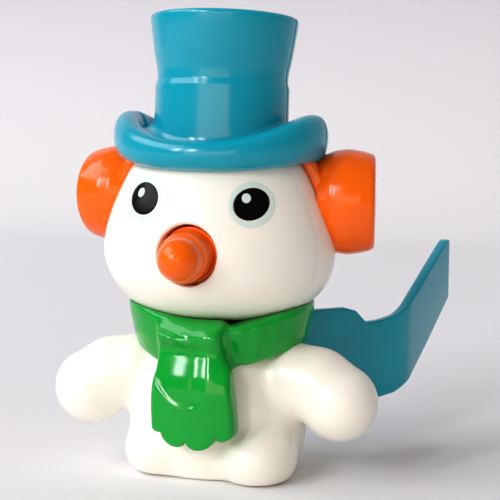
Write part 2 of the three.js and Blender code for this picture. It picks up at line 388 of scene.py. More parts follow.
@dataclass(frozen=True)
class RoundForm:
    """Field of a turned body with an oval plan, seen from a point on its axis.

    Its surface is at a distance R(angle) from that point, where the angle is measured from straight up and R
    comes from a smooth outline. The tuck narrows the left-hand side from just under the centre down.
    """

    outline: tuple[Pair, ...]
    centre: float
    depth: float
    tuck: float = 0.0  # share of the width
    tuck_depths: Pair = (1, 10)  # under the centre, where the tuck starts and is full
    tuck_reach: float = 9.0  # distance from the middle at which it is full

    def __call__(self, x: Array, y: Array, z: Array) -> Array:
        """Distance-like value at each point: its reach from the centre less R of its angle."""
        start, full = self.tuck_depths
        low = ease(self.centre - start, self.centre - full, z)
        x = x * (1 + self.tuck * low * ease(0, -self.tuck_reach, x))
        curve = spline(self.outline, 500)
        radius, up = np.maximum(curve[:, 0], 0), curve[:, 1] - self.centre
        angles = np.arctan2(radius, up)
        order = np.argsort(angles)
        across = np.hypot(x, y / self.depth)
        surface = np.interp(np.arctan2(across, z - self.centre), angles[order], np.hypot(radius, up)[order])
        return (np.hypot(across, z - self.centre) - surface) * (1 + self.depth) / 2


def ball(x: Array, y: Array, z: Array, centre: Triple, radii: Triple) -> Array:
    """Field of an ellipsoid: (|p / r| - 1) times its smallest radius."""
    scaled = [(value - middle) / radius for value, middle, radius in zip((x, y, z), centre, radii)]
    return (np.sqrt(scaled[0] ** 2 + scaled[1] ** 2 + scaled[2] ** 2) - 1) * min(radii)


def peg(x: Array, y: Array, z: Array, start: Triple, end: Triple, radii: Pair) -> Array:
    """Field of a round-ended bar from start to end whose radius changes evenly along it."""
    axis = np.subtract(end, start)
    offset = [value - origin for value, origin in zip((x, y, z), start)]
    share = np.clip(sum(o * a for o, a in zip(offset, axis)) / (axis @ axis), 0, 1)
    distance = np.sqrt(sum((o - share * a) ** 2 for o, a in zip(offset, axis)))
    return distance - (radii[0] + share * (radii[1] - radii[0]))


# -------------------- finishes
class Slot(Enum):
    """Material slots of the record."""

    WHITE = "white_plastic"
    TEAL = "teal_plastic"
    ORANGE = "orange_plastic"
    GREEN = "green_plastic"
    STEEL = "steel"
    BLACK_INK = "eye_black"
    MINT_INK = "eye_mint"


def linear(code: str) -> tuple[float, float, float, float]:
    """Linear colour of an sRGB hex code such as "0099B0"."""
    values = [int(code[i : i + 2], 16) / 255 for i in (0, 2, 4)]
    red, green, blue = (v / 12.92 if v <= 0.04045 else ((v + 0.055) / 1.055) ** 2.4 for v in values)
    return red, green, blue, 1.0


def add_node(
    tree: bpy.types.NodeTree, kind: str, inputs: dict | None = None, **settings: object
) -> bpy.types.Node:
    """Adds a node to a tree.

    Args:
        tree: node tree of a material.
        kind: node type, such as "ShaderNodeBump".
        inputs: socket name or number to a constant, or to the output socket that feeds it.
        settings: attributes of the node.

    Returns:
        The node.
    """
    node = tree.nodes.new(kind)
    for key, value in settings.items():
        setattr(node, key, value)
    for key, value in (inputs or {}).items():
        if isinstance(value, bpy.types.NodeSocket):
            tree.links.new(value, node.inputs[key])
        else:
            node.inputs[key].default_value = value
    return node


def new_material(name: str) -> tuple[bpy.types.Material, bpy.types.NodeTree, bpy.types.NodeSocket]:
    """Empty node material, its tree, and the Object coordinates that its patterns read."""
    material = bpy.data.materials.new(name)
    material.use_nodes = True
    tree = material.node_tree
    tree.nodes.clear()
    return material, tree, add_node(tree, "ShaderNodeTexCoord").outputs["Object"]


def noise(
    tree: bpy.types.NodeTree, place: bpy.types.NodeSocket, width: float, detail: float
) -> bpy.types.NodeSocket:
    """Noise whose features are about a width in millimetres across."""
    inputs = {"Vector": place, "Scale": 1 / (width * MM), "Detail": detail}
    return add_node(tree, "ShaderNodeTexNoise", inputs).outputs["Fac"]


def add_surface(tree: bpy.types.NodeTree, inputs: dict) -> None:
    """Ends a tree with a principled shader."""
    shader = add_node(tree, "ShaderNodeBsdfPrincipled", inputs)
    add_node(tree, "ShaderNodeOutputMaterial", {"Surface": shader.outputs["BSDF"]})


@dataclass(frozen=True)
class MouldedPlastic:
    """Injection-moulded ABS from a polished tool: a clear gloss over an even body colour.

    The eye sees sharp window highlights that waver a little, because the skin sinks where the wall is thick,
    and faint hazy patches where fingers have dulled the gloss.
    """

    name: str
    colour: str
    tint: str
    roughness: float = 0.12
    haze: float = 0.1  # how much rougher the handled patches are
    haze_width: float = 5.0
    cloud_width: float = 14.0
    sink_depth: float = 0.03  # millimetres of slow unevenness
    sink_width: float = 9.0
    grain_depth: float = 0.0015
    grain_width: float = 0.35
    shine: float = 0.45
    scatter: float = 0.0
    scatter_reach: float = 1.2

    def build(self) -> bpy.types.Material:
        """Makes the material."""
        material, tree, place = new_material(self.name)
        colour = add_node(
            tree,
            "ShaderNodeMix",
            {0: noise(tree, place, self.cloud_width, 2.0), 6: linear(self.colour), 7: linear(self.tint)},
            data_type="RGBA",
        )
        rough = add_node(
            tree,
            "ShaderNodeMapRange",
            {
                "Value": noise(tree, place, self.haze_width, 5.0),
                "From Min": 0.45,
                "From Max": 0.75,
                "To Min": self.roughness,
                "To Max": self.roughness + self.haze,
            },
        )
        sink, grain = noise(tree, place, self.sink_width, 1.0), noise(tree, place, self.grain_width, 2.0)
        slow = add_node(
            tree, "ShaderNodeBump", {"Height": sink, "Distance": self.sink_depth * MM, "Strength": 1.0}
        )
        fine = add_node(
            tree,
            "ShaderNodeBump",
            {
                "Height": grain,
                "Distance": self.grain_depth * MM,
                "Strength": 1.0,
                "Normal": slow.outputs["Normal"],
            },
        )
        add_surface(
            tree,
            {
                "Base Color": colour.outputs[2],
                "Roughness": rough.outputs["Result"],
                "Normal": fine.outputs["Normal"],
                "IOR": 1.53,
                "Specular IOR Level": self.shine,
                "Subsurface Weight": self.scatter,
                "Subsurface Radius": (1.0, 0.75, 0.55),
                "Subsurface Scale": self.scatter_reach * MM,
            },
        )
        return material


@dataclass(frozen=True)
class PrintedInk:
    """Pad-printed ink on moulded plastic: a thin, even, slightly less glossy skin."""

    name: str
    colour: str
    roughness: float = 0.22

    def build(self) -> bpy.types.Material:
        """Makes the material."""
        material, tree, place = new_material(self.name)
        grain = noise(tree, place, 0.5, 3.0)
        bump = add_node(tree, "ShaderNodeBump", {"Height": grain, "Distance": 0.002 * MM})
        add_surface(
            tree,
            {
                "Base Color": linear(self.colour),
                "Roughness": self.roughness,
                "Specular IOR Level": 0.12,
                "Normal": bump.outputs["Normal"],
            },
        )
        return material


@dataclass(frozen=True)
class PlatedSteel:
    """Zinc-plated steel, as on small screws: a soft grey metal gloss with fine turning marks."""

    name: str = "zinc-plated turned steel"
    colour: str = "B9BBBD"
    roughness: float = 0.32

    def build(self) -> bpy.types.Material:
        """Makes the material."""
        material, tree, place = new_material(self.name)
        grain = noise(tree, place, 0.15, 2.0)
        bump = add_node(tree, "ShaderNodeBump", {"Height": grain, "Distance": 0.004 * MM})
        add_surface(
            tree,
            {
                "Base Color": linear(self.colour),
                "Metallic": 1.0,
                "Roughness": self.roughness,
                "Normal": bump.outputs["Normal"],
            },
        )
        return material


FINISHES = {
    Slot.WHITE: MouldedPlastic(
        "injection-moulded gloss ABS, white", "F9F6EC", "F6F2E6", 0.24, 0.03, shine=0.4, scatter=0.3
    ),
    Slot.TEAL: MouldedPlastic(
        "injection-moulded gloss ABS, teal", "009DB4", "0098AF", 0.17, 0.04, scatter=0.35, scatter_reach=2.5
    ),
    Slot.ORANGE: MouldedPlastic(
        "injection-moulded gloss ABS, orange", "FB6A00", "F76400", 0.15, 0.04, shine=0.36
    ),
    Slot.GREEN: MouldedPlastic(
        "injection-moulded gloss ABS, green", "009E34", "009831", 0.1, 0.03, shine=0.4
    ),
    Slot.STEEL: PlatedSteel(),
    Slot.BLACK_INK: PrintedInk("pad-printed gloss ink, black", "08070A", 0.2),
    Slot.MINT_INK: PrintedInk("pad-printed gloss ink, pale mint", "D0E3D9"),
}


class Dresser:
    """Gives each finished piece its material, body and slot."""

    def __init__(self) -> None:
        """Makes one material per slot."""
        self.materials = {slot: finish.build() for slot, finish in FINISHES.items()}

    def finish(
        self, piece: bpy.types.Object, slot: Slot, nodes: Sequence[str] = (), body: str = FIGURE
    ) -> bpy.types.Object:
        """Dresses a piece and puts it on a body.

        Args:
            piece: the object.
            slot: material slot.
            nodes: CAD nodes that the piece stands for.
            body: CAD body that it moves with.

        Returns:
            The same object.
        """
        piece.data.materials.clear()
        piece.data.materials.append(self.materials[slot])
        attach(piece, body)
        if nodes:
            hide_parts(*nodes)
        log.info("%s: %d faces, %s", piece.name, len(piece.data.polygons), slot.value)
        return piece


# -------------------- head
@dataclass(frozen=True)
class Head:
    """Gum-drop head in two mouldings, with a round opening in the face for the nose."""

    seam: float = -6.5
    depth: float = 0.93
    bore: float = 4.75
    bore_floor: float = -12.0
    lip: float = 0.5
    cell: float = 0.34
    outline: tuple[Pair, ...] = (
        (0, 25), (7.5, 25.2), (12.6, 26.3), (15.9, 28.4), (18.2, 31.2), (19.2, 34.6), (19.1, 38.5),
        (18.1, 42.4), (16.6, 46), (14.6, 49.8), (12, 52.6), (7.5, 54.6), (0, 55.2),
    )  # fmt: skip
    nose_height: float = 36.3
    middle: float = 38.0
    tuck: float = 0.055

    def form(self) -> RoundForm:
        """Outer surface of the head before the nose opening is cut."""
        return RoundForm(self.outline, self.middle, self.depth, self.tuck)

    def field(self, x: Array, y: Array, z: Array) -> Array:
        """Field of the head with its nose opening."""
        bore = np.maximum(np.hypot(x, z - self.nose_height) - self.bore, y - self.bore_floor)
        return cut(self.form()(x, y, z), bore, self.lip)

    def build(self, dresser: Dresser) -> None:
        """Makes the two halves."""
        box = Box.of("head_front", "head_back")
        whole = skin("head", self.field, box.low, box.high, self.cell)
        front, back = split(whole, self.seam, ("face_moulding", "head_back_moulding"))
        dresser.finish(front, Slot.WHITE, ["head_front"])
        dresser.finish(back, Slot.WHITE, ["head_back"])


@dataclass(frozen=True)
class Eye:
    """One printed eye on the face: mint oval, black oval and a bright dot."""

    side: int
    centre: Pair = (8.6, 44.5)
    shift: float = 0.55  # how far both eyes sit to the right-hand side
    askew: float = -0.32  # how much higher the left-hand eye sits
    black: Pair = (2.6, 2.48)
    mint: Pair = (3.25, 3.5)
    uneven: float = 0.12  # how much wider the left-hand eye is, and the right-hand one narrower
    mint_shift: float = -0.1
    gap: float = 0.12
    lean: float = 24.0  # degrees, top towards the middle of the face
    dot: Pair = (0.62, 0.75)
    dot_place: Pair = (-0.75, 0.9)

    def patch(
        self, name: str, head: RoundForm, centre: Pair, outer: Pair, inner: Pair, stand: float
    ) -> bpy.types.Object:
        """Thin oval of ink that follows the face.

        Rings of points go round the oval on a plane in front of the face and are then moved straight back
        onto the head, first for the outer skin and then for the underside.

        Args:
            name: object name.
            head: surface of the head.
            centre: x and z of the oval.
            outer: half sizes across the lean and along it, seen from the front.
            inner: half sizes of the part left open in the middle.
            stand: height of the ink over the plastic.

        Returns:
            The object.
        """
        angle = np.linspace(0, 2 * math.pi, 72, endpoint=False)
        shares = np.linspace(0, 1, 12)
        shares = np.concatenate([shares, shares[::-1]])
        heights = np.concatenate([np.full(12, stand), np.full(12, -0.15)])
        if inner[0] > 0.1:
            shares, heights = np.append(shares, shares[0]), np.append(heights, heights[0])
        tilt = -math.radians(self.lean) * self.side
        u = (inner[0] + shares[:, None] * (outer[0] - inner[0])) * np.cos(angle)
        v = (inner[1] + shares[:, None] * (outer[1] - inner[1])) * np.sin(angle)
        x = centre[0] + u * math.cos(tilt) + v * math.sin(tilt)
        z = centre[1] - u * math.sin(tilt) + v * math.cos(tilt)
        y = np.full_like(x, -20.0)
        for _ in range(12):
            y = y + 0.9 * head(x, y, z)
        points = np.stack([x, y, z], axis=-1)
        flat = points.reshape(-1, 3)
        normal = slopes(head, flat, 0.02)
        normal /= np.linalg.norm(normal, axis=1, keepdims=True)
        points = points + heights[:, None, None] * normal.reshape(points.shape)
        return grid_mesh(name, points)

    def build(self, head: RoundForm, dresser: Dresser) -> None:
        """Makes the ovals and the dot."""
        word = "right" if self.side > 0 else "left"
        x = self.centre[0] * self.side + self.shift
        z = self.centre[1] + self.askew * self.side
        extra = self.uneven * self.side
        oval, rim = (self.black[0] - extra, self.black[1]), (self.mint[0] - extra, self.mint[1])
        inner = (oval[0] + self.gap, oval[1] + self.gap)
        none = (0.001, 0.001)
        mint = self.patch(f"eye_{word}_mint_print", head, (x, z + self.mint_shift), rim, inner, 0.02)
        black = self.patch(f"eye_{word}_black_print", head, (x, z), oval, none, 0.03)
        dot_x, dot_z = x + self.dot_place[0], z + self.dot_place[1]
        dot = self.patch(f"eye_{word}_dot_print", head, (dot_x, dot_z), self.dot, none, 0.05)
        dresser.finish(mint, Slot.MINT_INK)
        dresser.finish(black, Slot.BLACK_INK)
        dresser.finish(dot, Slot.MINT_INK)


@dataclass(frozen=True)
class Nose:
    """Stub carrot on a flange, seated in the face's opening."""

    height: float = 36.3
    flange_y: float = -15.6
    droop: float = 5.0
    outline: tuple[Triple, ...] = (
        (0, -3, 0), (4.4, -3, 0.2), (4.4, 0, 0.35), (3.98, 0, 0.3), (3.82, 4.0, 0.25), (3.5, 4.25, 0.2),
        (3.36, 5.3, 0.1),
    )  # fmt: skip
    dome: Pair = (3.3, 3.2)

    def build(self, dresser: Dresser) -> None:
        """Makes the nose: stepped stem, then a quarter oval that closes it."""
        place = Matrix.Translation((0, self.flange_y, self.height))
        place = place @ Matrix.Rotation(math.radians(90 + self.droop), 4, "X")
        turn = np.linspace(0, math.pi / 2, 24)
        base = self.outline[-1][1]
        dome = np.stack([self.dome[0] * np.cos(turn), base + self.dome[1] * np.sin(turn) ** 1.15], axis=1)
        piece = turned("carrot_nose", np.vstack([filleted(self.outline)[:-1], dome]), place)
        dresser.finish(piece, Slot.ORANGE, ["nose"])


# -------------------- ear muffs
@dataclass(frozen=True)
class EarMuffs:
    """Two barrels and the strip that joins them over the head, under the hat."""

    root: Triple = (15.45, 4.4, 44.75)
    shift: float = 0.35  # how much farther to the right-hand side both barrels sit
    askew: float = -0.42  # how much higher the left-hand barrel sits
    swell: float = 0.025  # share by which the right-hand barrel is wider, and the left-hand one narrower
    turn_back: float = 9.0
    outline: tuple[Triple, ...] = (
        (0, 0, 0), (7.2, 0, 0.5), (8.2, 2.4, 4), (8.55, 4.8, 6), (8.2, 7.1, 4), (7.6, 9.3, 1.2), (0, 9.45, 0),
    )  # fmt: skip
    band_front: float = -2.3
    band_back: float = 9.5
    band_foot: float = 40.5
    band_top: float = 51.0  # inside the hat
    thickness: float = 1.7
    clearance: float = 0.1  # between the strip and the head
    edge: float = 0.7
    cell: float = 0.34

    def band(self, head: RoundForm) -> bpy.types.Object:
        """Strip between two offsets of the head, two planes of y and a lowest height, with rounded edges."""

        def field(x: Array, y: Array, z: Array) -> Array:
            """Field of the strip."""
            cover = head(x, y, z)
            wall = np.maximum(self.clearance - cover, cover - self.thickness - 2 * self.clearance)
            middle, half = (self.band_front + self.band_back) / 2, (self.band_back - self.band_front) / 2
            strip = meet(meet(wall, np.abs(y - middle) - half, self.edge), self.band_foot - z, self.edge)
            return meet(strip, z - self.band_top, 0.3)

        box = Box.of("ear_band")
        return skin("ear_muff_band", field, box.low, box.high, self.cell)

    def build(self, head: RoundForm, dresser: Dresser) -> None:
        """Makes the strip and both barrels."""
        dresser.finish(self.band(head), Slot.ORANGE, ["ear_band"])
        for side, word in ((-1, "left"), (1, "right")):
            x, y, z = self.root
            turn = Matrix.Rotation(math.radians(self.turn_back * side), 4, "Z")
            root = Matrix.Translation((x * side + self.shift, y, z + self.askew * side))
            place = root @ turn @ Matrix.Rotation(side * math.pi / 2, 4, "Y")
            swell = np.array([1 + self.swell * side, 1.0])
            piece = turned(f"ear_muff_{word}_barrel", filleted(self.outline) * swell, place, 128)
            dresser.finish(piece, Slot.ORANGE, [f"ear_muff_{word}"])


# -------------------- hat
@dataclass(frozen=True)
class Hat:
    """Top hat in a front and a back moulding, with a thick brim that curls up at the sides."""

    crown: tuple[Triple, ...] = (  # radius, height, corner radius, from the top's middle to the band's foot
        (0, 74.35, 0), (12.2, 74.35, 0.8), (11.95, 72.15, 3), (11.4, 68.3, 12), (10.83, 65.4, 6),
        (10.75, 63.8, 1.2), (11.05, 62.8, 0.15), (11.07, 58.6, 2),
    )  # fmt: skip
    band_radius: float = 11.05
    lip_ring: Pair = (15.35, 14.3)
    lip_thickness: float = 2.4
    lip_front: Triple = (51.45, 2.32, 0.62)  # middle, half height, and share of that where the floor meets it
    lip_side: Triple = (54.9, 3.9, 0.37)
    lip_square: float = 2.3
    lip_flare: float = 0.06  # outward lean of the lip's section
    lip_end: float = -150.0  # degrees round the section, where the underside takes over
    lip_steps: int = 64
    wall_radius: float = 11.09
    wall_steps: int = 10
    under_radius: float = 11.5
    under_level: float = 0.45  # of the lip's half height, under its middle
    fillet: float = 1.7
    askew: float = 1.5  # degrees that the hat leans to the right-hand side
    curl: float = 2.5
    seam: float = 0.0
    groove_depth: float = 0.3
    groove_width: float = 0.25

    def angles(self) -> Array:
        """Angles round the hat, close together where the two mouldings meet."""
        even = np.linspace(-math.pi / 2, math.pi / 2, 121)
        near = np.linspace(-0.05, 0.05, 41)
        side = np.unique(np.round(np.concatenate([even, near]), 6))
        return np.concatenate([side, side[1:-1] + math.pi])

    def section(self, share: Array) -> tuple[Array, Array, Array]:
        """Outline of the hat from the middle of its top to the middle of its underside.

        The crown is the same all round. Below it, the brim's floor and the oval lip rise with the share.

        Args:
            share: 0 in front and behind, 1 at the sides; one value per angle.

        Returns:
            Radii, heights and each point's share of the brim's width, all of shape (angles, points).
        """
        crown = filleted(self.crown)
        middle, half, level = (
            (front + share * (side - front))[:, None] for front, side in zip(self.lip_front, self.lip_side)
        )
        quarter = np.linspace(0, math.pi / 2, self.wall_steps)[None, :]
        wall_r = self.wall_radius + self.fillet * (1 - np.cos(quarter))
        wall_z = middle + half * level + self.fillet * (1 - np.sin(quarter))
        power = 2 / self.lip_square
        start = math.pi - np.arcsin(level ** (1 / power))
        turn = start + (math.radians(self.lip_end) - start) * np.linspace(0, 1, self.lip_steps)[None, :]
        out, up = (np.sign(wave) * np.abs(wave) ** power for wave in (np.cos(turn), np.sin(turn)))
        lip_r = self.lip_ring[0] + self.lip_thickness * (out + self.lip_flare * up)
        lip_z = middle + half * up
        under_z = middle - self.under_level * half
        rows = (len(share), 1)
        under_r = np.tile([self.under_radius, 0.0], rows)
        radius = np.concatenate([np.tile(crown[:, 0], rows), np.tile(wall_r, rows), lip_r, under_r], axis=1)
        height = np.concatenate([np.tile(crown[:, 1], rows), wall_z, lip_z, under_z, under_z], axis=1)
        brim = np.clip((radius - self.band_radius) / (self.lip_ring[0] - self.band_radius), 0, 1)
        brim[:, : len(crown)] = 0
        return radius, height, brim

    def build(self, dresser: Dresser) -> None:
        """Makes the two halves."""
        angle = self.angles()
        radius, height, brim = self.section(np.abs(np.cos(angle)) ** self.curl)
        cos, sin = np.cos(angle)[:, None], np.sin(angle)[:, None]
        narrow = 1 + brim * (self.lip_ring[1] / self.lip_ring[0] - 1)
        groove = self.groove_depth * bell(radius * sin, self.seam, self.groove_width)
        groove = np.where(radius > 0.5, groove, 0)
        points = np.stack([(radius - groove) * cos, (radius - groove) * sin * narrow, height], axis=-1)
        lean = np.array(Matrix.Rotation(math.radians(self.askew), 3, "Y"))
        foot = np.array([0, 0, self.lip_front[0]])
        points = (points - foot) @ lean.T + foot
        whole = grid_mesh("hat", points.transpose(1, 0, 2))
        front, back = split(whole, self.seam, ("hat_front_moulding", "hat_back_moulding"))
        dresser.finish(front, Slot.TEAL, ["hat_front"])
        dresser.finish(back, Slot.TEAL, ["hat_back"])


# -------------------- body
@dataclass(frozen=True)
class Body:
    """Bell-shaped torso with stub arms and feet, in two mouldings, with a lever pocket in its back."""

    seam: float = -1.5
    depth: float = 0.86
    outline: tuple[Pair, ...] = (
        (0, -4), (7, -3.4), (11.4, -1.8), (13.9, 2), (14.9, 6.6), (14.7, 11.6), (13.0, 16.6), (11, 20.6),
        (8.6, 23.2), (5, 24.2), (0, 24.4),
    )  # fmt: skip
    shoulder: Triple = (13.4, -2.2, 15.8)
    elbow: Triple = (17.6, -2.7, 15.0)
    hand: Triple = (21.2, -3.4, 12.6)
    arm_tilt: float = 0.006  # how much lower the right-hand arm hangs, per millimetre out
    arm_radii: Triple = (5.9, 5.9, 6.3)
    left_foot: Triple = (-7.4, -5.5, 3.9)
    right_foot: Triple = (8.9, -7.5, 3.8)
    foot_radii: Triple = (6.5, 7.2, 5.4)
    middle: float = 9.0
    blends: Triple = (1.5, 1.0, 2.0)  # of the feet, of the elbows and of the shoulders
    cell: float = 0.36
    pivot: Pair = (0.0, 6.0)
    lever_angles: Pair = (33.7, 73.7)
    pocket_heights: Pair = (8.8, 18.0)
    slot_half: float = 1.6
    hub_room: float = 3.4
    screw_place: Pair = (6.2, 5.6)
    screw_bore: float = 2.2
    screw_seat: float = 9.6

    def pocket(self, x: Array, y: Array, z: Array) -> Array:
        """Field of the room for the lever: a sector about the pivot and a round hub."""
        reach = np.hypot(x - self.pivot[0], y - self.pivot[1])
        angle = np.arctan2(y - self.pivot[1], x - self.pivot[0])
        first, last = (math.radians(value) for value in self.lever_angles)
        side = (np.abs(angle - (first + last) / 2) - (last - first) / 2) * reach - self.slot_half
        side = np.minimum(side, reach - self.hub_room)
        low, high = self.pocket_heights
        return np.maximum(side, np.abs(z - (low + high) / 2) - (high - low) / 2)

    def field(self, x: Array, y: Array, z: Array) -> Array:
        """Field of the whole body."""
        mirrored = np.abs(x)
        torso = RoundForm(self.outline, self.middle, self.depth)(x, y, z)
        level = z + self.arm_tilt * x
        upper = peg(mirrored, y, level, self.shoulder, self.elbow, self.arm_radii[:2])
        lower = peg(mirrored, y, level, self.elbow, self.hand, self.arm_radii[1:])
        feet = np.minimum(
            ball(x, y, z, self.left_foot, self.foot_radii), ball(x, y, z, self.right_foot, self.foot_radii)
        )
        foot, elbow, shoulder = self.blends
        shape = join(join(torso, feet, foot), join(upper, lower, elbow), shoulder)
        shape = cut(shape, self.pocket(x, y, z), 0.6)
        off_screw = np.hypot(mirrored - self.screw_place[0], z - self.screw_place[1])
        bore = np.maximum(off_screw - self.screw_bore, self.screw_seat - y)
        shape = cut(shape, bore, 0.5)
        return meet(shape, -z, 0.9)

    def build(self, dresser: Dresser) -> None:
        """Makes the two halves."""
        box = Box.of("body_front", "body_back")
        whole = skin("body", self.field, box.low - 2, box.high + 2, self.cell)
        front, back = split(whole, self.seam, ("body_front_moulding", "body_back_moulding"))
        dresser.finish(front, Slot.WHITE, ["body_front"])
        dresser.finish(back, Slot.WHITE, ["body_back"])


# -------------------- scarf
@dataclass(frozen=True)
class Scarf:
    """Moulded scarf: a conical collar, a crossed fold in front and a hanging end with a scalloped hem."""

    depth: float = 0.93
    inner: float = 9.3
    outer: tuple[Pair, ...] = (
        (16, 11.6), (18.4, 12.9), (20, 13.7), (22.6, 14.6), (26.2, 15.35), (29.5, 15.7)
    )  # fmt: skip
    shift: float = 0.5
    cell: float = 0.3
    rim: Triple = (24.7, 4.1, 15.0)  # lowest height, its rise at the sides, and its turn in degrees
    foot: Pair = (16.0, 4.6)
    pleats: Pair = (0.09, 30)
    tail_sides: Pair = (-6.4, 7.3)
    reach: tuple[Pair, ...] = (
        (5, 16.5), (9, 16.55), (12, 16.5), (15, 16.45), (17, 16.15), (19, 15.6), (20.6, 15.1), (21.6, 15.1),
        (22.6, 15.6), (23.4, 15.8), (24.3, 15.3), (25.1, 14.4), (25.8, 13.3),
    )  # fmt: skip
    hem: tuple[Triple, ...] = (
        (-7.0, 9.1, 0.3), (-4.56, 8.5, 1.65), (-0.35, 7.6, 1.95), (4.46, 8.5, 1.5), (8.0, 10.2, 0.0),
    )  # fmt: skip

    thickness: float = 3.6
    tail_top: float = 25.9
    bow: Pair = (0.016, 1.8)  # how fast the hanging end curves back, and the x it curves back from
    crease: Triple = (23.6, 0.3, -5.0)  # height of the crossing's ridge, its fall per mm, x of that height
    crease_relief: Triple = (0.25, 0.6, 1.2)  # ridge and groove: depth, half width and distance apart
    sag: Triple = (12.7, 0.13, -0.2)  # lowest height of the slack fold, how it curves up, and its middle x
    sag_depth: float = 0.35
    blend: float = 1.3  # between the collar and the hanging end
    dimple: tuple[Triple, Pair] = ((0.8, 5.9, 1.7), (20.6, 2.6))  # depth, x, half width; height, half height
    clearance: float = 0.12  # between the scarf and the head

    def collar(self, x: Array, y: Array, z: Array) -> Array:
        """Field of the ring: from an inner radius to an outer one that grows upwards and carries pleats."""
        angle = np.arctan2(y, x)
        heights, radii = zip(*self.outer)
        depth, count = self.pleats
        ruffled = ease(0.2, 0.9, np.cos(2 * (angle + 0.95)))
        pleat = depth * np.cos(angle * count + 0.8 * np.sin(angle * 3)) * ease(16, 21, z) * ruffled
        across = np.hypot(x - self.shift, y / self.depth)
        ring = np.maximum((across - np.interp(z, heights, radii) - pleat) * 0.93, self.inner - across)
        behind = ease(-0.15, 0.15, np.sin(angle))
        lowest = self.foot[0] + self.foot[1] * np.maximum(np.abs(np.cos(angle)) ** 1.35, 0.9 * behind)
        low, rise, turn = self.rim
        highest = low + rise * np.maximum(np.abs(np.cos(angle - math.radians(turn))) ** 1.6, behind)
        return meet(meet(ring, lowest - z, 1.0), z - highest, 1.5)

    def hem_height(self, x: Array) -> Array:
        """Lowest height of the hanging end: a round lobe between each two notches."""
        places, heights, lobes = (np.array(column) for column in zip(*self.hem))
        span = np.clip(np.searchsorted(places, x) - 1, 0, len(places) - 2)
        share = np.clip((x - places[span]) / (places[span + 1] - places[span]), 0, 1)
        line = heights[span] + share * (heights[span + 1] - heights[span])
        return line - lobes[span] * np.sqrt(np.maximum(1 - (2 * share - 1) ** 2, 0))

    def front(self, x: Array, z: Array) -> Array:
        """Distance of the hanging end's front surface ahead of the axis, with its folds."""
        curve = spline(self.reach, 200)
        surface = np.interp(z, curve[:, 0], curve[:, 1])
        curve_back, centre = self.bow
        surface = surface - curve_back * (x - centre) ** 2
        height, fall, start = self.crease
        crossing = z - (height - fall * (x - start))
        depth, width, apart = self.crease_relief
        ridge = (depth * bell(crossing, 0, width) - depth * bell(crossing, apart, width)) * ease(3, -1, x)
        height, curve_up, middle = self.sag
        slack = z - (height + curve_up * (x - middle) ** 2)
        return surface + ridge + self.sag_depth * (ease(0.9, -0.9, slack) - 1) * ease(3.5, 0.5, x)

    def tail(self, x: Array, y: Array, z: Array) -> Array:
        """Field of the hanging end: a slab of even thickness behind its front surface."""
        surface = -self.front(x, z)
        slab = meet(surface - y, y - surface - self.thickness, 0.6)
        left = self.tail_sides[0] + 0.5 * ease(15, 20, z) - 0.25 * bell(z, 13, 3)
        right = self.tail_sides[1] - 0.7 * ease(10, 17, z) - 1.8 * ease(18, 23, z)
        sides = np.maximum(left - x, x - right)
        shape = meet(slab, sides, 1.1)
        return meet(meet(shape, self.hem_height(x) - z, 0.5), z - self.tail_top, 1.4)

    def field(self, head: RoundForm) -> Field:
        """Field of the whole scarf, kept clear of the head."""

        def whole(x: Array, y: Array, z: Array) -> Array:
            """Collar and hanging end joined, with the dimple beside the crossing, cut back from the head."""
            shape = join(self.collar(x, y, z), self.tail(x, y, z), self.blend)
            (deep, middle, wide), upright = self.dimple
            dimple = deep * bell(x, middle, wide) * bell(z, *upright) * (y < 0)
            return meet(shape + dimple, self.clearance - head(x, y, z), 0.3)

        return whole

    def build(self, head: RoundForm, dresser: Dresser) -> None:
        """Makes the scarf."""
        box = Box.of("scarf")
        piece = skin("scarf_moulding", self.field(head), box.low - 1, box.high + 1, self.cell)
        dresser.finish(piece, Slot.GREEN, ["scarf"])


